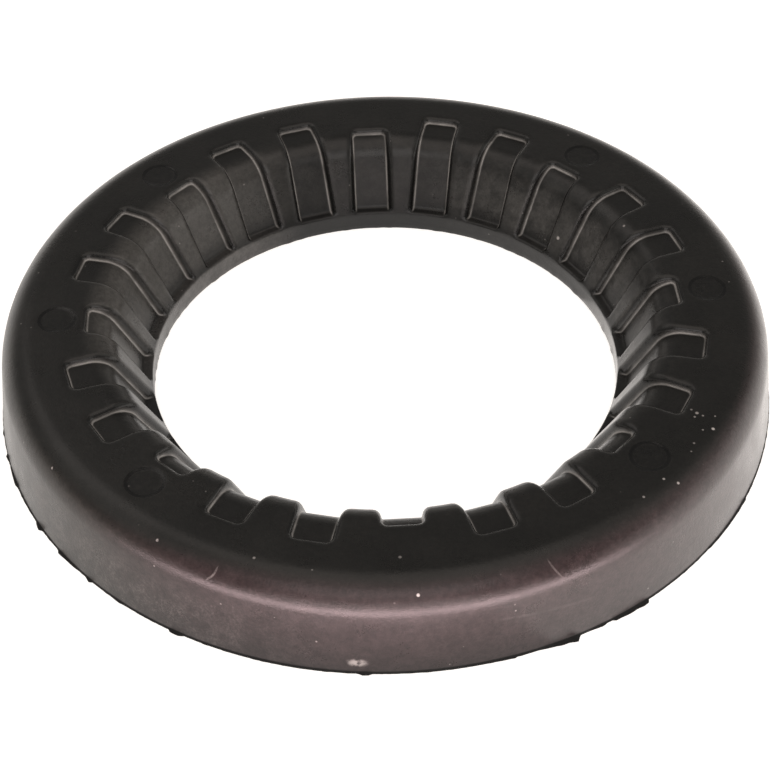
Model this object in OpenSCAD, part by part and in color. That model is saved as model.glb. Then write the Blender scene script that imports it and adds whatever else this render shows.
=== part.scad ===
/* [Ring] */
// Diameter across the base of the outer wall
outer_d = 160; // [150:1:180]
// Width of the ring, from the opening to the outer wall's foot
ring_w = 31.5; // [29:0.5:36]
// Height of the ring
pad_h = 19; // [17:0.5:24]
// Lean of the outer wall from upright, in degrees
side_taper = 7.5; // [2:0.5:10]
// Radius of the rounded outer edge
outer_round = 6.6; // [4:0.2:8]

/* [Inner wall] */
// Height of the plain lip at the opening
lip_h = 4.2; // [3:0.1:6]
// Slope of the inner wall from level, in degrees
wall_slope = 62.5; // [58:0.5:68]
// Radius of the shoulder between the inner wall and the top
shoulder_round = 6.5; // [4:0.25:8]

/* [Pockets] */
// Number of pockets round the ring
pocket_count = 24; // [18:3:27]
// Width of a pocket's floor
pocket_w = 7.5; // [5:0.25:8.5]
// Depth of a pocket below the top
top_depth = 1.3; // [0.8:0.1:2]
// Depth of a pocket behind the inner wall
wall_depth = 1.7; // [1:0.1:2.2]
// Radius of the floor's bend between top and inner wall
floor_round = 6; // [3:0.25:8]
// How far above the lip the pockets end on a ledge
ledge_rise = 0.3; // [0.1:0.05:1]
// Lean of the pocket's walls away from its floor, in degrees
pocket_draft = 30; // [10:1:35]
// How far the floor runs outward past the shoulder, long pockets
long_run = 5.2; // [4:0.1:7]
// How far the floor runs outward past the shoulder, short pockets
short_run = 0.45; // [0.3:0.05:2]
// Radius of the floor's outer corners, seen from above
corner_round = 1.2; // [0.6:0.1:2]
// One pocket in this many is short
short_every = 3; // [2:1:4]

/* [Marks] */
// Diameter of the round mould marks on the top
mark_d = 7.2; // [5:0.2:8]
// Depth of the round mould marks
mark_depth = 0.6; // [0.2:0.05:0.8]
// Gap between a mark and the edge of the short pocket beside it
mark_gap = 1.65; // [1:0.05:2.5]

/* [Spring seat] */
// Diameter of the spring wire that the underside takes
wire_d = 13; // [11:0.5:14]
// Depth of the seat groove in the underside
seat_depth = 3.5; // [2:0.25:4]
// Distance from the outer wall's foot to the middle of the seat groove
seat_inset = 16; // [14:0.5:18]

/* [Hidden] */
$fn = 96;
bore_r = outer_d / 2 - ring_w;
// How far cutting and filling shapes run past the faces that they meet
past = 1;

// Middle of the outer edge's rounding: the wall is tangent to it and meets the base at the outer diameter
outer_z = pad_h - outer_round;
outer_x = outer_d / 2 - (outer_round + outer_z * sin(side_taper)) / cos(side_taper);

// Middle of the shoulder's rounding: the inner wall is tangent to it and meets the lip's upper edge
shoulder_z = pad_h - shoulder_round;
shoulder_x = bore_r + bend_offset(shoulder_round, pad_h - lip_h);

// The pocket's floor, one depth below the top and another behind the inner wall
floor_top = pad_h - top_depth;
floor_foot = bore_r + wall_depth / sin(wall_slope);
floor_z = floor_top - floor_round;
floor_x = floor_foot + bend_offset(floor_round, floor_top - lip_h);
draft_run = tan(pocket_draft);

// Radii from the axis to the floors' outer ends and to the middle of the marks
long_reach = shoulder_x + long_run;
short_reach = shoulder_x + short_run;
mark_reach = short_reach + top_depth * draft_run + mark_gap + mark_d / 2;

step_angle = 360 / pocket_count;

// Sideways distance from the foot of the inner wall to the middle of a bend that ends at this height
function bend_offset(r, rise) = (r * (1 - cos(wall_slope)) + rise * cos(wall_slope)) / sin(wall_slope);

function is_short(i) = i % short_every == 0;

// The marks lie beside the short pockets, except the two on the ring's front and back
function has_mark(i) = is_short(i) && i % (pocket_count / 2) != 0;

// A bend of the section: a round corner with a level arm above and a sloping arm down the inner wall
module inner_bend(x, z, r, arm) {
    translate([x, z]) {
        circle(r = r);
        translate([0, -z - past]) square([arm, z + past + r]);
        rotate(wall_slope) translate([-pad_h, -arm]) square([pad_h, arm + r]);
    }
}

// Half of the ring's section, from the opening out to the outer wall
module ring_section() {
    middle = (outer_x - shoulder_x) / 2;
    difference() {
        union() {
            inner_bend(shoulder_x, shoulder_z, shoulder_round, middle + past);
            translate([outer_x, outer_z]) {
                circle(r = outer_round);
                translate([-middle - past, -outer_z - past]) square([middle + past, pad_h + past]);
                rotate(side_taper) translate([-outer_round, -pad_h]) square([2 * outer_round, pad_h]);
            }
            translate([bore_r - past, -past]) square([shoulder_x - bore_r + past, lip_h * 0.9 + past]);
        }
        translate([0, -pad_h]) square([outer_d, pad_h]);
        translate([bore_r - 2 * pad_h, -pad_h]) square([2 * pad_h, 3 * pad_h]);
        translate([outer_d / 2 - seat_inset, seat_depth - wire_d / 2]) circle(d = wire_d);
    }
}

// Side view of the room over a pocket's floor
module floor_profile(reach) {
    difference() {
        translate([bore_r - wall_depth - past, lip_h + ledge_rise]) square([pad_h + past + reach - bore_r, pad_h]);
        inner_bend(floor_x, floor_z, floor_round, pad_h + reach);
    }
}

// Outline that is straight for the depth of the floor's bend and then spreads by the draft as it rises
module flare(half, rise) {
    polygon([
        [-half, -floor_round],
        [half, -floor_round],
        [half, 0],
        [half + rise * draft_run, rise],
        [-half - rise * draft_run, rise],
        [-half, 0]
    ]);
}

// The pocket's part over its level floor, with a leaning end wall and round outer corners
module level_room(reach) {
    rise = top_depth + past;
    corner_x = reach - corner_round;
    corner_y = pocket_w / 2 - corner_round;
    run_in = corner_x - bore_r + 2 * past;
    translate([0, 0, floor_top]) {
        translate([corner_x - run_in, 0, 0])
            rotate([90, 0, 90])
            linear_extrude(height = run_in)
            flare(pocket_w / 2, rise);
        rotate([90, 0, 0])
            linear_extrude(height = 2 * corner_y, center = true)
            translate([corner_x - run_in / 2, 0])
            flare(corner_round + run_in / 2, rise);
        for (side = [-1, 1])
            translate([corner_x, side * corner_y, 0]) {
                cylinder(r1 = corner_round, r2 = corner_round + rise * draft_run, h = rise);
                translate([0, 0, -floor_round]) cylinder(r = corner_round, h = floor_round);
            }
    }
}

// The pocket's part down the inner wall, with its walls square to that slope
module sloping_room() {
    translate([floor_foot, 0, lip_h])
        rotate([0, -wall_slope, 0])
        translate([-2 * past, 0, 0])
        rotate([90, 0, 90])
        linear_extrude(height = pad_h + 2 * past)
        flare(pocket_w / 2, wall_depth + 3 * past);
}

// One pocket's room, reaching outward along +X
module pocket(reach) {
    intersection() {
        rotate([90, 0, 0])
            linear_extrude(height = 2 * pocket_w, center = true)
            floor_profile(reach);
        union() {
            level_room(reach);
            sloping_room();
        }
    }
}

module mark() {
    translate([mark_reach, 0, pad_h - mark_depth]) cylinder(d = mark_d, h = mark_depth + past);
}

module spring_pad() {
    color([0.16, 0.15, 0.15])
        difference() {
            rotate_extrude() ring_section();
            for (i = [0:pocket_count - 1])
                rotate([0, 0, 90 - i * step_angle]) {
                    pocket(is_short(i) ? short_reach : long_reach);
                    if (has_mark(i)) mark();
                }
        }
}

spring_pad();
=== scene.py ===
import math
from types import SimpleNamespace

import bpy
import numpy as np
from mathutils import Matrix, Vector


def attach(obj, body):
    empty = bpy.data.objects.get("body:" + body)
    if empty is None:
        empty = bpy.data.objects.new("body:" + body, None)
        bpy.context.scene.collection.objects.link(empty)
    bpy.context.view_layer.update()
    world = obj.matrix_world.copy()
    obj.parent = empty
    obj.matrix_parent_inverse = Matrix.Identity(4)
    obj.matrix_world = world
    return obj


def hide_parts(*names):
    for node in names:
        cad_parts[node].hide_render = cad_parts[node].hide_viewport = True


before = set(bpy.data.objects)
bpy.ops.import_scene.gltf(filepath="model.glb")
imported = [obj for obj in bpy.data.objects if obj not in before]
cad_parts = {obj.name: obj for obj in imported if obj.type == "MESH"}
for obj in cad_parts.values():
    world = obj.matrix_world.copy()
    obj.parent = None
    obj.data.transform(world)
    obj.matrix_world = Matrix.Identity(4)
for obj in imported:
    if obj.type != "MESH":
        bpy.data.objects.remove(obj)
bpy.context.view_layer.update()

# The frame is in metres, and this script in millimetres
MM = 0.001

# Sizes of the ring, as in the solid
BORE_R = 48.5
OUTER_R = 80.0
PAD_H = 19.0
SIDE_TAPER = math.radians(7.5)
OUTER_ROUND = 6.6
LIP_H = 4.2
LEDGE_RISE = 0.3
WALL_SLOPE = math.radians(62.5)
SHOULDER_ROUND = 6.5
TOP_DEPTH = 1.3
WALL_DEPTH = 1.7
FLOOR_ROUND = 6.0
POCKETS = 24
POCKET_HALF = 3.75
DRAFT_RUN = math.tan(math.radians(30))
LONG_RUN = 5.2
SHORT_RUN = 0.45
CORNER_ROUND = 1.2
SHORT_EVERY = 3
MARK_R = 3.6
MARK_GAP = 1.65
WIRE_R = 6.5
SEAT_DEPTH = 3.5
COIL_R = 64.0


def bend_offset(r, rise):
    """Sideways distance from the inner wall's foot to the middle of a bend that ends at this height."""
    return (r * (1 - math.cos(WALL_SLOPE)) + rise * math.cos(WALL_SLOPE)) / math.sin(WALL_SLOPE)


# Middles of the section's rounds, the floor's heights and the radii at which the pockets and marks end
OUTER_Z = PAD_H - OUTER_ROUND
OUTER_X = OUTER_R - (OUTER_ROUND + OUTER_Z * math.sin(SIDE_TAPER)) / math.cos(SIDE_TAPER)
SHOULDER_Z = PAD_H - SHOULDER_ROUND
SHOULDER_X = BORE_R + bend_offset(SHOULDER_ROUND, PAD_H - LIP_H)
FLOOR_TOP = PAD_H - TOP_DEPTH
FLOOR_FOOT = BORE_R + WALL_DEPTH / math.sin(WALL_SLOPE)
FLOOR_Z = FLOOR_TOP - FLOOR_ROUND
FLOOR_X = FLOOR_FOOT + bend_offset(FLOOR_ROUND, FLOOR_TOP - LIP_H)
LONG_REACH = SHOULDER_X + LONG_RUN
SHORT_REACH = SHOULDER_X + SHORT_RUN
MARK_REACH = SHORT_REACH + TOP_DEPTH * DRAFT_RUN + MARK_GAP + MARK_R
WALL_DIR = np.array([math.cos(WALL_SLOPE), math.sin(WALL_SLOPE)])
HALF_SECTOR = math.pi / POCKETS

# Camera, from a fit of the ring's circles to the photograph: elevation, distance in millimetres, turn about the
# ring's axis, and small turns of the camera itself, all in radians
CAM_ELEV = 0.749137
CAM_DIST = 394.261
CAM_TURN = -0.045208
CAM_YAW = -0.000224
CAM_PITCH = -0.007215
CAM_ROLL = -0.019084
CAM_FOCAL_PX = 1864.42
IMAGE_PX = 770
SENSOR_MM = 36.0
CLIP_START_M = 0.01


def make_camera():
    pos = np.array([0, -CAM_DIST * math.cos(CAM_ELEV), CAM_DIST * math.sin(CAM_ELEV)])
    fwd = -pos / np.linalg.norm(pos)
    right = np.array([1.0, 0, 0])
    up = np.cross(right, fwd)
    fwd = fwd + CAM_YAW * right + CAM_PITCH * up
    fwd /= np.linalg.norm(fwd)
    right = np.cross(fwd, up)
    right /= np.linalg.norm(right)
    up = np.cross(right, fwd)
    c, s = math.cos(CAM_ROLL), math.sin(CAM_ROLL)
    right, up = c * right + s * up, -s * right + c * up
    axes = np.array([right, up, -fwd]).T
    pose = Matrix([list(axes[i]) + [pos[i] * MM] for i in range(3)] + [[0, 0, 0, 1]])
    cam = bpy.data.cameras.new("camera")
    cam.sensor_width = SENSOR_MM
    cam.lens = CAM_FOCAL_PX * SENSOR_MM / IMAGE_PX
    cam.clip_start = CLIP_START_M
    obj = bpy.data.objects.new("camera", cam)
    bpy.context.scene.collection.objects.link(obj)
    obj.matrix_world = Matrix.Rotation(CAM_TURN, 4, "Z") @ pose
    bpy.context.scene.camera = obj


# Kinds of the section's rows
ROW_LIP, ROW_WALL, ROW_TOP, ROW_OUT, ROW_FLASH, ROW_BASE = range(6)

# Round lower edge of the lip, and the rows of its band and of its soft upper edge
LIP_EDGE = 0.35
LIP_EDGE_TURNS = (270, 225, 180)
LIP_BAND = (1.3, 2.5, 3.5)
LIP_TOP = (0.01, 3.95)
# Rows at a pocket's end: way up the inner wall, how far the rib swells there into the lip, and the floor's place
# outward of the lip and above the ledge
LEDGE_ROWS = (
    (0.15, 0.03, 0.07, -0.16), (0.42, 0.0, 0.3, 0.0), (0.7, 0.0, 0.9, 0.0),
    (0.95, 0.0, 1.5, 0.0), (1.2, 0.0, 1.9, 0.04), (1.45, 0.0, 2.12, 0.2),
)
# Rows further up the inner wall, and rows round the shoulder and round the outer edge
WALL_ROWS = (1.8, 2.5, 4.2, 6.5, 8.8, 10.6, 11.8)
ROUND_STEPS = 13
# Distances from a floor's edge at which rows and columns follow the pocket's wall
EDGE_STEPS = (-0.55, -0.33, -0.2, -0.08, 0.0, 0.08, 0.22, 0.5, 0.95, 1.5)
# Rows of the top between the ends of the short and the long pockets, and from there to the outer edge
PAST_SHORT = (2.0, 2.6)
BEFORE_LONG = 0.36
ENDS_STEPS = 4
PAST_LONG = 1.9
TOP_STEP = 0.37
TOP_END = 70.5
# The rows are straight across each pocket from here on, and turn round again towards the outer edge
STRAIGHT_RUN = 0.4
STRAIGHT_END = 70.8
STRAIGHT_FADE = 2.5
# The columns pass over to even angles
EVEN_START = 68.2
EVEN_RUN = 3.2
# Last row of the top, and how even its angles are
TOP_LAST = (70.9, 0.9)
OUTER_WALL_ROWS = (11.4, 9.2, 6.8, 4.4, 2.3)
# Flash at the outer wall's foot: height of each row and the share of the flash's width that it stands out
FLASH_ROWS = ((1.1, 0.0), (0.6, 0.0), (0.38, 0.1), (0.3, 0.85), (0.15, 1.0), (0.0, 0.8))
# Rows of the underside, outside and inside the spring's seat, and round the seat
BASE_OUTER_ROWS = (78.6, 74.5)
BASE_INNER_ROW = 53.0
SEAT_EDGE = 0.25
SEAT_STEPS = 8


def unit(value):
    return min(1.0, max(0.0, value))


def floor_hit(point, aim):
    """Where the line from a rib's point towards aim meets the pocket's floor."""
    way = np.array(aim, float) - point
    way /= np.linalg.norm(way)
    # The floor's bend
    centre = np.array([FLOOR_X, FLOOR_Z]) - point
    along = float(np.dot(centre, way))
    off2 = float(np.dot(centre, centre)) - along * along
    if off2 < FLOOR_ROUND ** 2:
        hit = point + (along - math.sqrt(FLOOR_ROUND ** 2 - off2)) * way
        turn = math.atan2(hit[1] - FLOOR_Z, hit[0] - FLOOR_X)
        if math.pi / 2 <= turn <= math.pi / 2 + WALL_SLOPE:
            return hit
    # The level floor
    if way[1] < 0:
        hit = point + (FLOOR_TOP - point[1]) / way[1] * way
        if hit[0] >= FLOOR_X:
            return hit
    # The sloping floor
    square = np.array([-WALL_DIR[1], WALL_DIR[0]])
    foot = np.array([FLOOR_FOOT, LIP_H])
    return point + float(np.dot(foot - point, square)) / float(np.dot(way, square)) * way


def wall_x(z):
    """Radius of the outer wall at this height."""
    return OUTER_R - z * math.tan(SIDE_TAPER)


def section_rows():
    """The section's rows, from the lip over the top to the underside.

    Each holds its kind, a point of the ribs, a point of the pocket's floor, how straight it runs across a pocket
    and how even its columns' angles are. A row of the flash holds its share in place of the floor's point.
    """
    rows = []

    def add(kind, rib, floor=None, straight=0.0, even=0.0):
        floor = rib if floor is None else floor
        rows.append((kind, rib[0], rib[1], floor[0], floor[1], straight, even))

    for degrees in LIP_EDGE_TURNS:
        t = math.radians(degrees)
        add(ROW_LIP, (BORE_R + LIP_EDGE + LIP_EDGE * math.cos(t), LIP_EDGE + LIP_EDGE * math.sin(t)))
    for z in LIP_BAND:
        add(ROW_LIP, (BORE_R, z))
    add(ROW_LIP, (BORE_R + LIP_TOP[0], LIP_TOP[1]))
    wall_start = np.array([BORE_R, LIP_H])
    for run, swell, out, above in LEDGE_ROWS:
        add(ROW_WALL, wall_start + run * WALL_DIR + (swell, 0), (BORE_R + out, LIP_H + LEDGE_RISE + above))
    inward = np.array([WALL_DIR[1], -WALL_DIR[0]])
    for run in WALL_ROWS:
        rib = wall_start + run * WALL_DIR
        add(ROW_WALL, rib, rib + inward * WALL_DEPTH)
    centre = np.array([SHOULDER_X, SHOULDER_Z])
    for i in range(ROUND_STEPS + 1):
        t = math.pi / 2 + WALL_SLOPE * (1 - i / ROUND_STEPS)
        rib = centre + SHOULDER_ROUND * np.array([math.cos(t), math.sin(t)])
        add(ROW_WALL if i < ROUND_STEPS else ROW_TOP, rib, floor_hit(rib, centre))

    # The level top, with rows that follow both kinds of end wall
    level = [SHORT_REACH + s for s in EDGE_STEPS[1:]] + [SHORT_REACH + PAST_SHORT[0]]
    level += list(np.linspace(SHORT_REACH + PAST_SHORT[1], LONG_REACH + EDGE_STEPS[0] - BEFORE_LONG, ENDS_STEPS))
    level += [LONG_REACH + s for s in EDGE_STEPS] + list(np.arange(LONG_REACH + PAST_LONG, TOP_END, TOP_STEP))
    for r in level:
        straight = unit((r - SHOULDER_X) / STRAIGHT_RUN) * unit((STRAIGHT_END - r) / STRAIGHT_FADE)
        sunk = FLOOR_ROUND - math.sqrt(FLOOR_ROUND ** 2 - max(FLOOR_X - r, 0) ** 2)
        add(ROW_TOP, (r, PAD_H), (r, FLOOR_TOP - sunk), straight, unit((r - EVEN_START) / EVEN_RUN))

    add(ROW_OUT, (TOP_LAST[0], PAD_H), even=TOP_LAST[1])
    for i in range(ROUND_STEPS + 1):
        t = math.pi / 2 + (SIDE_TAPER - math.pi / 2) * i / ROUND_STEPS
        add(ROW_OUT, (OUTER_X + OUTER_ROUND * math.cos(t), OUTER_Z + OUTER_ROUND * math.sin(t)), even=1)
    for z in OUTER_WALL_ROWS:
        add(ROW_OUT, (wall_x(z), z), even=1)
    for z, share in FLASH_ROWS:
        add(ROW_FLASH, (wall_x(z), z), (share, 0), even=1)

    # The underside with the spring's seat
    for r in BASE_OUTER_ROWS:
        add(ROW_BASE, (r, 0.0), even=1)
    half = math.sqrt(WIRE_R ** 2 - (WIRE_R - SEAT_DEPTH) ** 2)
    span = math.asin(half / WIRE_R)
    add(ROW_BASE, (COIL_R + half + SEAT_EDGE, 0.0), even=1)
    for i in range(SEAT_STEPS + 1):
        t = span * (1 - 2 * i / SEAT_STEPS)
        r, z = COIL_R + WIRE_R * math.sin(t), SEAT_DEPTH - WIRE_R + WIRE_R * math.cos(t)
        add(ROW_BASE, (r, max(z, 0.0)), even=1 - i / SEAT_STEPS)
    add(ROW_BASE, (COIL_R - half - SEAT_EDGE, 0.0))
    add(ROW_BASE, (BASE_INNER_ROW, 0.0))
    return rows


# Nubs and torn flaps of the flash: from and to in degrees, each with the width there
FLASH_FLAPS = (
    (-171.6, 0.1, -170.4, 0.5), (-166.0, 0.7, -164.8, 0.4), (-163.4, 0.3, -159.2, 0.7),
    (-151.3, 0.7, -149.7, 1.0), (-144.9, 0.8, -140.5, 0.3), (-138.4, 0.4, -137.3, 0.9),
    (-133.0, 0.2, -131.4, 0.5), (-123.2, 0.7, -121.2, 0.9), (-96.6, 0.9, -95.3, 0.7),
    (-79.5, 0.2, -76.0, 0.6), (-72.6, 0.3, -67.1, 1.7), (-64.6, 0.3, -62.9, 0.6),
    (-61.4, 0.8, -55.6, 1.1), (-42.5, 0.3, -31.5, 0.5), (12.0, 0.3, 19.0, 0.5),
    (63.0, 0.4, 66.0, 0.2), (118.0, 0.2, 124.0, 0.5), (151.0, 0.5, 153.0, 0.3),
)
# Share of those widths that is built, how many degrees a flap's ends take, and how ragged it is
FLAP_SHARE = 0.75
FLAP_SOFT = 0.35
FLAP_TEETH = 0.12
# The flash elsewhere: its width, its teeth, its slow swell and its least width
FLASH_WIDTH = 0.1
FLASH_TEETH = 0.1
FLASH_SWELL = 0.07
FLASH_LEAST = 0.03
# The ring isn't quite round, and its opening's lower edge is nibbled
OUT_OF_ROUND = 0.06
NIBBLE = 0.2
NIBBLE_FROM = 0.1
NIBBLE_BELOW = 0.4
# Waves of the ragged edges: their counts round the ring, and a seed
TEETH_WAVE = ((41, 67, 103, 151, 197), 3)
SWELL_WAVE = ((5, 9, 14), 4)
FLAP_WAVE = ((131, 171, 223), 5)
ROUND_WAVE = ((2, 3, 5, 8), 6)
NIBBLE_WAVE = ((17, 29, 43, 61, 88), 7)
# Least strength of one of a wave's parts, and what brings their sum to about -1 to 1
WAVE_LEAST = 0.5
WAVE_SHARE = 1.2


def ragged(turn, counts, seed):
    """Smooth irregular wave round the ring, about -1 to 1."""
    rng = np.random.default_rng(seed)
    total = np.zeros_like(turn)
    for count in counts:
        total += rng.uniform(WAVE_LEAST, 1.0) * np.sin(count * turn + rng.uniform(0, 2 * math.pi))
    return total / (WAVE_SHARE * math.sqrt(len(counts)))


def flash_width(turn):
    """How far the flash stands out at each angle."""
    teeth = FLASH_TEETH * np.abs(ragged(turn, *TEETH_WAVE))
    width = np.maximum(FLASH_WIDTH + teeth + FLASH_SWELL * ragged(turn, *SWELL_WAVE), FLASH_LEAST)
    degrees = np.degrees(turn)
    for start, first, end, last in FLASH_FLAPS:
        along = (degrees - start) / (end - start)
        soft = np.clip(np.minimum(along, 1 - along) * (end - start) / FLAP_SOFT + 0.5, 0, 1)
        level = FLAP_SHARE * (first + (last - first) * np.clip(along, 0, 1))
        level = level * (1 + FLAP_TEETH * ragged(turn, *FLAP_WAVE))
        width = width + soft * np.maximum(level - width, 0)
    return width


# Sideways places of a sector's columns, from the middle of its pocket outwards, and columns between two pockets
SIDEWAYS = (0, 0.7, 1.4, 2.1, 2.75) + tuple(POCKET_HALF + s for s in EDGE_STEPS)
BETWEEN = 3
# A pocket's wall: fillet at its foot, where it turns steep, its steep rise, and the round run over its edge
FILLET = 0.35
WALL_FOOT = 0.02
STEEP_RISE = 0.2
EDGE_START = 0.07
EDGE_RUN = 1.4
# A wall follows this depth at least, and its painted highlight line and its painted shade fade in up to the full
# depth
LEAST_DEPTH = 0.9
FULL_DEPTH = 1.2
# Places of the painted highlight line and the painted shade band beside a floor's edge
HIGHLIGHT_AT = -0.09
HIGHLIGHT_WIDTH = 0.14
WALL_SHADE_AT = 0.4
WALL_SHADE_HALF = 0.45
# How far round an outer corner the rows and columns bend with it, and where that fades out
CORNER_KEEP = 1.5
CORNER_FADE = 1.3
# The floor's foot turns from the lip's round to flat over this distance
FLAT_RUN = 1.7
# Softness and depth of the mould marks
MARK_SOFT = 0.5
MARK_SINK = 0.14


def wall_share(s, depth):
    """Share of the pocket's depth at distance s from its floor's edge: fillet, steep wall, rounded upper edge."""
    lift = FILLET - np.sqrt(np.maximum(FILLET ** 2 - (np.clip(s, -FILLET, -WALL_FOOT) + FILLET) ** 2, 0))
    foot = FILLET - math.sqrt(FILLET ** 2 - (FILLET - WALL_FOOT) ** 2)
    rise = np.clip((s + WALL_FOOT) / (EDGE_START + WALL_FOOT), 0, 1) * STEEP_RISE
    over = np.clip((EDGE_START + EDGE_RUN - s) / EDGE_RUN, 0, 1)
    edge = np.where(s > EDGE_START, (depth - foot - STEEP_RISE) * np.sqrt(1 - over ** 2), 0)
    return np.clip(1 - (lift + rise + edge) / depth, 0, 1)


def follow_corners(x, u, reach):
    """Draws the rows and columns round a pocket's outer corners, and returns the moved places."""
    qx = x - (reach - CORNER_ROUND)
    qy = u - (POCKET_HALF - CORNER_ROUND)
    far = np.maximum(qx, qy)
    corner = (qx > 0) & (qy > 0)
    length = np.where(corner, np.hypot(qx, qy), 1.0)
    fade = np.clip(1 - (far - CORNER_ROUND - CORNER_KEEP) / CORNER_FADE, 0, 1)
    factor = np.where(corner, 1 - fade + fade * far / length, 1.0)
    return np.where(corner, x + qx * (factor - 1), x), np.where(corner, u + qy * (factor - 1), u)


def mark_dip(x, u):
    """Depth of a mould mark with a soft rim."""
    share = np.clip((MARK_R + MARK_SOFT - np.hypot(x - MARK_REACH, u)) / (2 * MARK_SOFT), 0, 1)
    return MARK_SINK * share ** 2 * (3 - 2 * share)


def is_short(i):
    return i % SHORT_EVERY == 0


def has_mark(i):
    """The marks lie beside the short pockets, except the two on the ring's front and back."""
    return is_short(i) and i % (POCKETS // 2) != 0


def sector_grid(rib_r, straight, even):
    """One sector's points from above: places along its pocket, places across from its middle, and their sides."""
    side = np.array(SIDEWAYS)
    per_side = len(side) + BETWEEN
    # From one side's border to just before the other's
    pick = np.arange(-per_side, per_side)
    index = np.abs(pick)
    inner = index < len(side)
    across = np.where(inner, side[np.minimum(index, len(side) - 1)], side[-1])[None, :]
    share = np.where(inner, 0, (index - len(side) + 1) / (BETWEEN + 1))[None, :]
    x_edge = (1 - straight) * rib_r * math.cos(HALF_SECTOR) + straight * rib_r
    u = across + (x_edge * math.tan(HALF_SECTOR) - across) * share
    x = (1 - straight) * np.sqrt(np.maximum(rib_r ** 2 - u ** 2, 0)) + straight * rib_r
    turn = (1 - even) * np.arctan2(u, x) + even * (index / per_side * HALF_SECTOR)[None, :]
    radius = np.hypot(u, x)
    return radius * np.cos(turn), radius * np.sin(turn), np.sign(pick)[None, :]


def build_ring():
    """Points of the whole ring, with the strength of the painted highlight line and of the painted shade band at
    each of them.
    """
    kinds, rib_r, rib_z, floor_r, floor_z, straight, even = (
        column[:, None] for column in np.array(section_rows(), float).T
    )
    x, u, sign = sector_grid(rib_r, straight, even)
    depth = np.hypot(rib_r - floor_r, rib_z - floor_z)
    pocketed = np.isin(kinds, (ROW_WALL, ROW_TOP))
    on_top = kinds == ROW_TOP
    deep = np.where(pocketed, np.clip(depth / FULL_DEPTH, 0, 1) ** 3, 0)
    # The ledge's inner edge follows the round lip, and the floor above it is flat
    rounded = np.clip((FLOOR_FOOT - floor_r) / FLAT_RUN, 0, 1)
    floor_x = floor_r - rounded * (floor_r - np.sqrt(np.maximum(floor_r ** 2 - u ** 2, 0)))
    sectors, highlights, wall_shades = [], [], []
    for m in range(POCKETS):
        i = (-m) % POCKETS
        reach = SHORT_REACH if is_short(i) else LONG_REACH
        sx, su = follow_corners(x, u, reach)
        sx, su = np.where(pocketed, sx, x), np.where(pocketed, su, u)
        # Distance outside the floor's edge, then the point between rib and floor
        s = np.maximum(np.where(on_top, x, floor_r) - reach, u - POCKET_HALF)
        w = np.where(pocketed, wall_share(s, np.maximum(depth, LEAST_DEPTH)), 0)
        px = (1 - w) * sx + w * np.where(on_top, sx, floor_x)
        pz = (1 - w) * rib_z + w * floor_z
        if has_mark(i):
            pz = pz - np.where(on_top, mark_dip(px, su), 0)
        # Painted highlight line and painted shade band along each pocket's wall
        highlights.append(np.exp(-((s - HIGHLIGHT_AT) / HIGHLIGHT_WIDTH) ** 2) * deep)
        wall_shades.append(np.clip(1 - np.abs(s - WALL_SHADE_AT) / WALL_SHADE_HALF, 0, 1) * deep)
        # Round the ring, with the flash and the uneven edges
        pu = su * sign
        aim = np.arctan2(pu, px)
        mid = math.pi / 2 + m * 2 * HALF_SECTOR
        here = (aim + mid + math.pi) % (2 * math.pi) - math.pi
        out = np.where(kinds == ROW_FLASH, floor_r * flash_width(here), 0)
        out = out + np.isin(kinds, (ROW_OUT, ROW_FLASH)) * OUT_OF_ROUND * ragged(here, *ROUND_WAVE)
        nibbled = (kinds == ROW_LIP) & (rib_z < NIBBLE_BELOW)
        out = out - nibbled * NIBBLE * np.clip(ragged(here, *NIBBLE_WAVE) - NIBBLE_FROM, 0, 1)
        radius = np.hypot(px, pu) + out
        sectors.append(np.stack([radius * np.cos(aim + mid), radius * np.sin(aim + mid), pz + 0 * aim], axis=2))
    return [np.concatenate(part, axis=1) for part in (sectors, highlights, wall_shades)]


def mesh_from_grid(name, pts):
    """Closed mesh of quads from a grid that runs round in both directions."""
    n, m = pts.shape[:2]
    a = np.arange(n * m).reshape(n, m)
    b = np.roll(a, -1, axis=1)
    quads = np.stack([a, b, np.roll(b, -1, axis=0), np.roll(a, -1, axis=0)], axis=2).reshape(-1, 4)
    me = bpy.data.meshes.new(name)
    me.vertices.add(n * m)
    me.vertices.foreach_set("co", (pts.reshape(-1, 3) * MM).astype(np.float32).ravel())
    me.loops.add(quads.size)
    me.loops.foreach_set("vertex_index", quads.ravel().astype(np.int32))
    me.polygons.add(len(quads))
    me.polygons.foreach_set("loop_start", np.arange(0, quads.size, 4, dtype=np.int32))
    me.update(calc_edges=True)
    me.validate()
    me.shade_smooth()
    return me


def signed_volume(a):
    """Volume inside the grid of points, below zero if its quads face inward."""
    b = np.roll(a, -1, axis=1)
    d = np.roll(a, -1, axis=0)
    c = np.roll(b, -1, axis=0)
    return (np.sum(a * np.cross(b, c)) + np.sum(a * np.cross(c, d))) / 6


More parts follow.
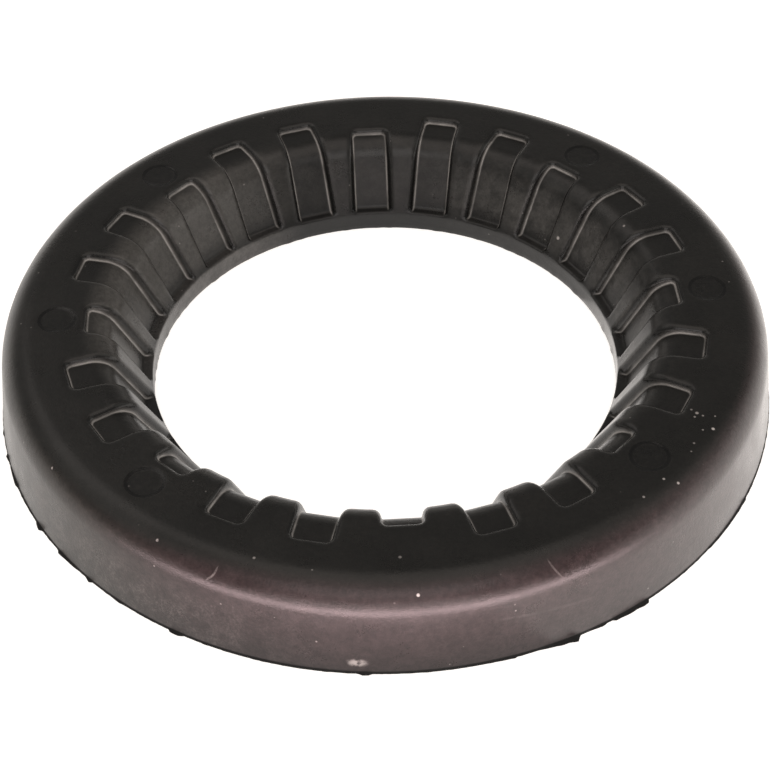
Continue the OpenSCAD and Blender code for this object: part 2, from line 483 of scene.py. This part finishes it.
class Nodes:
    """Short calls for a shader's nodes. A colour is a tuple of red, green and blue."""

    def __init__(self, tree):
        self.tree = tree

    def make(self, kind, **values):
        node = self.tree.nodes.new("ShaderNode" + kind)
        for key, value in values.items():
            setattr(node, key, value)
        return node

    def link(self, value, socket):
        if isinstance(value, bpy.types.NodeSocket):
            self.tree.links.new(value, socket)
        else:
            socket.default_value = value

    def math(self, operation, *args):
        node = self.make("Math", operation=operation)
        for i, value in enumerate(args):
            self.link(value, node.inputs[i])
        return node.outputs[0]

    def add(self, a, b):
        return self.math("ADD", a, b)

    def less(self, a, b):
        return self.math("SUBTRACT", a, b)

    def times(self, first, *rest):
        for value in rest:
            first = self.math("MULTIPLY", first, value)
        return first

    def larger(self, a, b):
        return self.math("MAXIMUM", a, b)

    def apart(self, a, b):
        """How far two values lie apart."""
        return self.math("ABSOLUTE", self.less(a, b))

    def vector(self, operation, *args, out=0):
        node = self.make("VectorMath", operation=operation)
        for i, value in enumerate(args):
            self.link(value, node.inputs[i])
        return node.outputs[out]

    def number(self, operation, *args):
        """A vector operation whose result is a number."""
        return self.vector(operation, *args, out=1)

    def scale(self, value, factor):
        scaled = self.vector("SCALE", value)
        self.link(factor, scaled.node.inputs["Scale"])
        return scaled

    def split(self, value, kind="XYZ"):
        node = self.make("Separate" + kind)
        self.link(value, node.inputs[0])
        return node.outputs

    def ramp(self, value, low, high, to_low=0.0, to_high=1.0, smooth=True):
        node = self.make("MapRange", interpolation_type="SMOOTHSTEP" if smooth else "LINEAR")
        for i, v in enumerate((value, low, high, to_low, to_high)):
            self.link(v, node.inputs[i])
        return node.outputs[0]

    def noise(self, coord, scale, detail, rough=0.55):
        node = self.make("TexNoise")
        self.link(coord, node.inputs["Vector"])
        node.inputs["Scale"].default_value = scale
        node.inputs["Detail"].default_value = detail
        node.inputs["Roughness"].default_value = rough
        return node.outputs[0]

    def attribute(self, name):
        return self.make("Attribute", attribute_name=name).outputs["Fac"]

    def mix(self, share, a, b):
        node = self.make("Mix", data_type="RGBA")
        self.link(share, node.inputs[0])
        for colour, socket in ((a, node.inputs[6]), (b, node.inputs[7])):
            self.link((*colour, 1) if isinstance(colour, tuple) else colour, socket)
        return node.outputs[2]


# Noises by what they do: scale per millimetre, detail and roughness
NOISES = {
    "cloud": (0.07, 4.0, 0.55), "blotch": (0.3, 5.0, 0.62), "mottle": (0.9, 4.0, 0.65),
    "fine": (2.2, 3.0, 0.7), "broken": (0.16, 3.0, 0.55), "wear": (0.12, 3.0, 0.55),
}
# Colours that a noise blends between, and ranges of the noise over which it does
TOP_TONES = ((0.0058, 0.0056, 0.0048), (0.0100, 0.0094, 0.0082))
HOLLOW_TONES = ((0.0065, 0.0064, 0.0058), (0.0170, 0.0160, 0.0146))
BROWN_TONES = ((0.0190, 0.0124, 0.0124), (0.0325, 0.0226, 0.0228))
GREY_TONES = ((0.0150, 0.0128, 0.0106), (0.0250, 0.0216, 0.0185))
TONE_RANGE = (0.3, 0.7)
BLOOM_RANGE = (0.2, 0.8)
# Radii over which the inside's colour and the outer wall's bloom fade in. For the bloom, a share of the height is
# taken off the radius, and on the left a drop too, so that it starts lower down there
INSIDE_RAMP = (62.5, 57.0)
OUTSIDE_RAMP = (68.3, 71.8)
OUTSIDE_LEAN = 0.25
OUTSIDE_DROP = (-22.0, -58.0, 0.0, 2.2)
# Painted sheen and painted reflection: paler stretches of the pockets and the lip, lighter where the light falls
# on them. Ramps along x, y and z, then of the blotches, and their colour
PAINTED_SHEEN_STRETCHES = (
    ((-12.0, -40.0), (-20.0, 0.0, 0.0, 0.8), None, None, (0.070, 0.066, 0.061)),
    ((8.0, 30.0), (-30.0, -5.0), (17.5, 10.0), (0.3, 0.65, 0.35, 0.85), (0.064, 0.061, 0.057)),
)
PAINTED_LIP_REFLECTION = ((-14.0, -32.0), (-12.0, 4.0), (4.7, 4.1), (0.3, 0.65, 0.6, 1.0), (0.085, 0.079, 0.075))
# Near-black colour of painted shade, used in the pockets' feet and on their steep walls, and the heights over
# which it darkens the feet
PAINTED_SHADE = (0.003, 0.003, 0.003)
FOOT_SHADE = (8.0, 4.4, 0.0, 0.75)
# On the left the brown gives way to grey, with a pale frosting low down
GREY_LEFT = (-34.0, -68.0)
FROST = (0.16, 0.145, 0.135)
FROST_LEFT = (-10.0, -45.0)
FROST_DOWN = (14.0, 7.0)
FROST_GRAIN = (0.42, 0.68, 0.25, 1.0)
FROST_BLOTCH = (0.36, 0.64, 0.04, 0.3)
# Grain of the whole surface: shares of two noises, and what their sum makes of the colour
GRAIN_SHARES = (0.6, 0.4)
GRAIN_RAMP = (0.34, 0.66, 0.72, 1.3)

# Colour of the dust, and of the specks anywhere: cells per millimetre, size, which cells have one, and strength
DUST = (0.5, 0.46, 0.44)
CELLS = 0.42
CELL_DOT = (0.1, 0.05)
CELL_LUCK = (0.84, 0.97)
CELL_STRENGTH = 0.3
# Specks that are seen: place, radius and strength
SPECKS = (
    (57.9, -36.4, 19.0, 0.45, 0.6), (57.3, -37.4, 19.0, 0.3, 0.5), (61.2, -37.5, 19.0, 0.25, 0.5),
    (57.0, -35.4, 19.0, 0.3, 0.4), (58.9, -37.2, 19.0, 0.3, 0.5), (55.8, -34.6, 19.0, 0.24, 0.35),
    (60.2, -40.8, 18.9, 0.42, 1.0), (58.2, -41.0, 19.0, 0.26, 0.5), (55.9, -44.4, 19.0, 0.3, 0.4),
    (48.7, -53.2, 19.0, 0.34, 0.7), (51.3, -53.9, 18.4, 0.36, 0.8), (44.3, -57.4, 18.9, 0.34, 0.6),
    (1.6, -76.3, 17.1, 0.4, 1.0), (-1.1, -68.9, 19.0, 0.4, 0.35), (52.8, 22.3, 18.4, 0.36, 0.6),
    (-65.0, -40.3, 17.0, 0.32, 0.6), (-44.5, -60.8, 17.9, 0.36, 0.5), (-27.0, -67.2, 18.9, 0.36, 0.5),
    (40.2, 31.1, 8.7, 0.5, 0.7), (-58.9, -46.0, 18.9, 0.3, 0.35), (55.0, -46.5, 18.9, 0.26, 0.4),
)
SPECK_CORE = 0.45
# Curved scuffs on the outer edge: middle and radius of the circle, way to the scuff, where it starts, strength
SCUFFS = (
    ((-36.0, -66.4, 17.1), 2.75, (0.55, -0.81, -0.2), 2.2, 0.2),
    ((30.8, -68.7, 19.0), 5.95, (-0.75, -0.49, -0.36), 5.4, 0.12),
)
SCUFF_WIDTH = (0.26, 0.104)
SCUFF_START = 0.2
SCUFF_RANGE = (0.35, 0.6)
SCUFF_LEAST = 0.3
# Faint slanting line on the wall, right of the front: angles where it starts and ends, heights there, how its
# sides and ends fade, and its strength over the blotches
STREAK = (-1.383, -1.11, 10.1, 7.8)
STREAK_WIDTH = (0.45, 0.1)
STREAK_END = 0.04
STREAK_BLOTCH = (0.35, 0.6, 0.012, 0.032)
# White mark at the outer wall's foot: place, how it is squeezed, how its edge fades, and its broken strength
CHALK = (-9.6, -79.0, 2.6)
CHALK_SQUEEZE = (0.42, 0.42, 0.85)
CHALK_EDGE = (1.0, 0.3)
CHALK_MOTTLE = (0.4, 0.6, 0.05, 0.65)

# Painted highlight: a pale line in the pockets' lower corners, where the fillets catch the light; and painted
# shade on the steep wall beside it
PAINTED_HIGHLIGHT = (0.40, 0.38, 0.36)
PAINTED_HIGHLIGHT_STRENGTH = 0.92
PAINTED_HIGHLIGHT_BROKEN = (0.35, 0.62, 0.45, 1.0)
WALL_SHADE_STRENGTH = 0.9
# Mould marks: a dark outline of painted shade, and a darker disc inside it
OUTLINE_SHADE = (0.0012, 0.0012, 0.0012)
OUTLINE_STRENGTH = 0.95
OUTLINE_WIDTH = (0.5, 0.12)
OUTLINE_BLOTCH = (0.3, 0.55, 0.55, 1.0)
DISC = (0.0015, 0.0014, 0.0014)
DISC_EDGE = 0.4
DISC_MOTTLE = (0.4, 0.65, 0.6, 0.1)
# Painted shade keeps the flash and the crease above it dark: heights and radii over which the painted shade
# begins
FLASH_SHADE = (0.0018, 0.0016, 0.0015)
FLASH_SHADE_DOWN = (0.75, 0.45)
FLASH_SHADE_OUT = (79.0, 79.6)

# Gloss of the rubber, and how the noises, the dust and the flash, and the outlines change its roughness
ROUGH_WEAR = (0.3, 0.7, 0.27, 0.33)
ROUGH_FINE = 0.06
ROUGH_DUST_FLASH = 0.45
ROUGH_OUTLINE = 0.14
RUBBER_IOR = 1.45
BUMP_STRENGTH = 0.7
BUMP_DISTANCE_M = 0.00009
BUMP_SHARES = (0.5, 0.6)


def painted_sheen_share(n, at, along_x, along_y, along_z, blotches):
    """Strength of a stretch of painted sheen from its ramps, where those that are None leave it as it is."""
    share = n.times(n.ramp(at.x, *along_x), n.ramp(at.y, *along_y))
    if along_z is not None:
        share = n.times(share, n.times(n.ramp(at.z, *along_z), n.ramp(at.blotch, *blotches)))
    return share


def hollow_colour(n, at):
    """The pockets, the ribs between them and the lip, with painted sheen and painted reflection on stretches of
    them and painted shade in the pockets' feet.
    """
    hollow = n.mix(n.ramp(at.blotch, *TONE_RANGE), *HOLLOW_TONES)
    # Painted sheen: paler stretches on the left and low on the right, where the light falls on the pockets and
    # ribs
    for *ramps, colour in PAINTED_SHEEN_STRETCHES:
        hollow = n.mix(painted_sheen_share(n, at, *ramps), hollow, colour)
    # Painted shade in the pockets' feet, darker towards the bottom
    hollow = n.mix(n.ramp(at.z, *FOOT_SHADE), hollow, PAINTED_SHADE)
    # Painted reflection: the lip on the left is paler, where it catches the bright floor
    *ramps, colour = PAINTED_LIP_REFLECTION
    return n.mix(painted_sheen_share(n, at, *ramps), hollow, colour)


def wall_colour(n, at):
    """Brown bloom on the outer wall, grey and frosted on the left."""
    bloom = n.ramp(at.blotch, *BLOOM_RANGE)
    wall = n.mix(n.ramp(at.x, *GREY_LEFT), n.mix(bloom, *BROWN_TONES), n.mix(bloom, *GREY_TONES))
    frost = n.times(n.ramp(at.x, *FROST_LEFT), n.ramp(at.z, *FROST_DOWN), n.ramp(at.fine, *FROST_GRAIN))
    return n.mix(n.times(frost, n.ramp(at.blotch, *FROST_BLOTCH)), wall, FROST)


def dust_strength(n, at):
    """Light specks, scuffs, the slanting line and the white mark."""
    cells = n.make("TexVoronoi")
    n.link(at.mm, cells.inputs["Vector"])
    cells.inputs["Scale"].default_value = CELLS
    luck = n.ramp(n.split(cells.outputs["Color"], "Color")[0], *CELL_LUCK)
    dust = n.times(n.ramp(cells.outputs["Distance"], *CELL_DOT), luck, CELL_STRENGTH)
    for *place, size, strength in SPECKS:
        away = n.number("DISTANCE", at.mm, place)
        dust = n.larger(dust, n.ramp(away, size, SPECK_CORE * size, 0.0, strength))
    for middle, bow, way, start, strength in SCUFFS:
        off = n.vector("SUBTRACT", at.mm, middle)
        scuff = n.ramp(n.apart(n.number("LENGTH", off), bow), *SCUFF_WIDTH)
        scuff = n.times(scuff, n.ramp(n.number("DOT_PRODUCT", off, way), start, start + SCUFF_START))
        dust = n.larger(dust, n.times(scuff, n.ramp(at.mottle, *SCUFF_RANGE, SCUFF_LEAST * strength, strength)))
    turn = n.math("ARCTAN2", at.y, at.x)
    streak = n.ramp(n.apart(at.z, n.ramp(turn, *STREAK, smooth=False)), *STREAK_WIDTH)
    start, end = STREAK[:2]
    streak = n.times(streak, n.ramp(turn, start, start + STREAK_END), n.ramp(turn, end, end - STREAK_END))
    dust = n.larger(dust, n.times(streak, n.ramp(at.blotch, *STREAK_BLOTCH)))
    squeezed = n.vector("MULTIPLY", n.vector("SUBTRACT", at.mm, CHALK), CHALK_SQUEEZE)
    chalk = n.ramp(n.number("LENGTH", squeezed), *CHALK_EDGE)
    return n.larger(dust, n.times(chalk, n.ramp(at.mottle, *CHALK_MOTTLE)))


def mark_strengths(n, at):
    """Strength of the mould marks' dark outline of painted shade, and of the darker disc inside it."""
    # Distance to the nearest mark's middle, from a start that lies beyond them all
    nearest = OUTER_R
    for i in filter(has_mark, range(POCKETS)):
        turn = math.pi / 2 - 2 * HALF_SECTOR * i
        middle = (MARK_REACH * math.cos(turn), MARK_REACH * math.sin(turn), PAD_H)
        nearest = n.math("MINIMUM", n.number("DISTANCE", at.mm, middle), nearest)
    outline = n.times(n.ramp(n.apart(nearest, MARK_R), *OUTLINE_WIDTH), n.ramp(at.blotch, *OUTLINE_BLOTCH))
    disc = n.times(n.ramp(nearest, MARK_R, MARK_R - DISC_EDGE), n.ramp(at.mottle, *DISC_MOTTLE))
    return outline, disc


def rubber():
    """Black moulded rubber: brownish bloom on the outer wall, fine grain, dust specks and scuffs, with painted
    sheen and reflection on the pockets and lip, painted highlights and shade along the pockets, and painted shade
    round the mould marks and on the flash.
    """
    mat = bpy.data.materials.new("moulded_rubber")
    mat.use_nodes = True
    n = Nodes(mat.node_tree)
    bsdf = mat.node_tree.nodes["Principled BSDF"]
    # The point that is shaded: its place in millimetres, its radius and the noises there
    mm = n.scale(n.make("TexCoord").outputs["Object"], 1 / MM)
    x, y, z = n.split(mm)
    radius = n.math("SQRT", n.add(n.times(x, x), n.times(y, y)))
    noises = {name: n.noise(mm, *values) for name, values in NOISES.items()}
    at = SimpleNamespace(mm=mm, x=x, y=y, z=z, radius=radius, **noises)

    base = n.mix(n.ramp(at.cloud, *TONE_RANGE), *TOP_TONES)
    base = n.mix(n.ramp(radius, *INSIDE_RAMP), base, hollow_colour(n, at))
    outer = n.less(n.less(radius, n.ramp(x, *OUTSIDE_DROP)), n.times(z, OUTSIDE_LEAN))
    base = n.mix(n.ramp(outer, *OUTSIDE_RAMP), base, wall_colour(n, at))
    grain = n.add(n.times(at.mottle, GRAIN_SHARES[0]), n.times(at.fine, GRAIN_SHARES[1]))
    base = n.scale(base, n.ramp(grain, *GRAIN_RAMP))
    dust = dust_strength(n, at)
    base = n.mix(dust, base, DUST)
    # Painted highlight along the pockets' lower corners
    highlight = n.times(n.attribute("pocket_highlight"), n.ramp(at.broken, *PAINTED_HIGHLIGHT_BROKEN), PAINTED_HIGHLIGHT_STRENGTH)
    base = n.mix(highlight, base, PAINTED_HIGHLIGHT)
    # Painted shade on the pockets' steep walls
    band = n.attribute("pocket_wall_shade")
    base = n.mix(n.times(band, WALL_SHADE_STRENGTH), base, PAINTED_SHADE)
    outline, disc = mark_strengths(n, at)
    base = n.mix(disc, base, DISC)
    # Painted shade: the mould marks' dark outline
    base = n.mix(n.times(outline, OUTLINE_STRENGTH), base, OUTLINE_SHADE)
    # Painted shade on the flash and in the crease above it
    crease = n.times(n.ramp(z, *FLASH_SHADE_DOWN), n.ramp(radius, *FLASH_SHADE_OUT))
    base = n.mix(crease, base, FLASH_SHADE)
    n.link(base, bsdf.inputs["Base Color"])

    rough = n.add(n.ramp(at.wear, *ROUGH_WEAR), n.times(n.less(at.fine, 0.5), ROUGH_FINE))
    rough = n.add(rough, n.times(n.larger(crease, dust), ROUGH_DUST_FLASH))
    rough = n.less(rough, n.times(n.larger(outline, band), ROUGH_OUTLINE))
    n.link(rough, bsdf.inputs["Roughness"])
    bsdf.inputs["IOR"].default_value = RUBBER_IOR
    bump = n.make("Bump")
    bump.inputs["Strength"].default_value = BUMP_STRENGTH
    bump.inputs["Distance"].default_value = BUMP_DISTANCE_M
    height = n.add(n.times(at.fine, BUMP_SHARES[0]), n.times(at.mottle, BUMP_SHARES[1]))
    n.link(height, bump.inputs["Height"])
    n.link(bump.outputs[0], bsdf.inputs["Normal"])
    return mat


def make_ring():
    pts, line, band = build_ring()
    if signed_volume(pts) < 0:
        pts, line, band = (grid[:, ::-1] for grid in (pts, line, band))
    ring = bpy.data.objects.new("spring_pad_moulding", mesh_from_grid("spring_pad_moulding", pts))
    for name, values in (("pocket_highlight", line), ("pocket_wall_shade", band)):
        shade = ring.data.attributes.new(name, "FLOAT", "POINT")
        shade.data.foreach_set("value", values.astype(np.float32).ravel())
    bpy.context.scene.collection.objects.link(ring)
    ring.data.materials.append(rubber())
    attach(ring, "root")
    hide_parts("spring_pad")


# Soft lights: azimuth and elevation in degrees, distance, width and height in metres, radiance in red, green and
# blue. One with an elevation below zero lies on the floor and faces up
LIGHTS = {
    "front_card": (-92.6, 8, 0.45, 0.46, 0.14, (2.3, 2.05, 2.0)),
    "front_softbox": (-92.6, 45, 1.2, 1.0, 0.7, (1.5, 1.42, 1.38)),
    "overhead_softbox": (0, 89, 1.2, 1.0, 1.0, (0.85, 0.76, 0.70)),
    "right_card": (-8, 12, 0.45, 0.5, 0.2, (1.1, 1.05, 1.0)),
    "front_panel": (-92.6, -1, 0.155, 0.36, 0.1, (11.8, 8.8, 9.0)),
    "back_left_softbox": (135, 50, 1.0, 0.5, 0.4, (0.8, 0.74, 0.7)),
    "right_panel": (-10, -1, 0.24, 0.26, 0.4, (0.85, 0.8, 0.76)),
    "left_softbox": (180, 45, 1.2, 0.8, 0.6, (0.45, 0.43, 0.4)),
    "right_softbox": (0, 45, 1.2, 0.8, 0.6, (0.45, 0.44, 0.4)),
}
# A light on the floor lies this far above it, in metres
PANEL_LIFT = 0.0003
# The floor's half width in metres, its colour and its own glow
FLOOR_HALF = 6.0
FLOOR_COLOUR = (0.7, 0.7, 0.7, 1)
FLOOR_GLOW = (0.80, 0.77, 0.74)
# The room's light, brighter close to the floor, and the heights between which it changes
ROOM = (0.25, 0.24, 0.23)
HORIZON = (0.9, 0.84, 0.78)
HORIZON_RAMP = (0.28, 0.05)


def soft_light(name, azimuth, elevation, distance, width, height, radiance):
    """Area light of even radiance that faces the ring, or lies on the floor facing up."""
    az, el = math.radians(azimuth), math.radians(elevation)
    light = bpy.data.lights.new(name, "AREA")
    light.shape = "RECTANGLE"
    light.size, light.size_y = width, height
    peak = max(radiance)
    light.color = [v / peak for v in radiance]
    light.energy = peak * math.pi * width * height
    obj = bpy.data.objects.new(name, light)
    if elevation < 0:
        obj.location = (distance * math.cos(az), distance * math.sin(az), PANEL_LIFT)
        obj.rotation_euler = (math.pi, 0, az + math.pi / 2)
    else:
        way = Vector((math.cos(el) * math.cos(az), math.cos(el) * math.sin(az), math.sin(el)))
        obj.location = way * distance
        obj.rotation_euler = way.to_track_quat("Z", "Y").to_euler()
    obj.visible_camera = False
    bpy.context.scene.collection.objects.link(obj)


def make_floor():
    me = bpy.data.meshes.new("floor")
    corners = [(x * FLOOR_HALF, y * FLOOR_HALF, 0) for x, y in ((-1, -1), (1, -1), (1, 1), (-1, 1))]
    me.from_pydata(corners, [], [(0, 1, 2, 3)])
    floor = bpy.data.objects.new("floor", me)
    bpy.context.scene.collection.objects.link(floor)
    mat = bpy.data.materials.new("floor")
    mat.use_nodes = True
    me.materials.append(mat)
    bsdf = mat.node_tree.nodes["Principled BSDF"]
    bsdf.inputs["Base Color"].default_value = FLOOR_COLOUR
    bsdf.inputs["Specular IOR Level"].default_value = 0.0
    bsdf.inputs["Roughness"].default_value = 1.0
    peak = max(FLOOR_GLOW)
    bsdf.inputs["Emission Color"].default_value = [v / peak for v in FLOOR_GLOW] + [1]
    bsdf.inputs["Emission Strength"].default_value = peak


def make_room():
    world = bpy.data.worlds.new("world")
    bpy.context.scene.world = world
    world.use_nodes = True
    n = Nodes(world.node_tree)
    z = n.split(n.make("TexCoord").outputs["Generated"])[2]
    glow = n.mix(n.ramp(z, *HORIZON_RAMP), ROOM, HORIZON)
    n.link(glow, world.node_tree.nodes["Background"].inputs[0])


make_camera()
make_ring()
make_floor()
make_room()
for name, values in LIGHTS.items():
    soft_light(name, *values)
bpy.context.scene.view_settings.view_transform = "Standard"
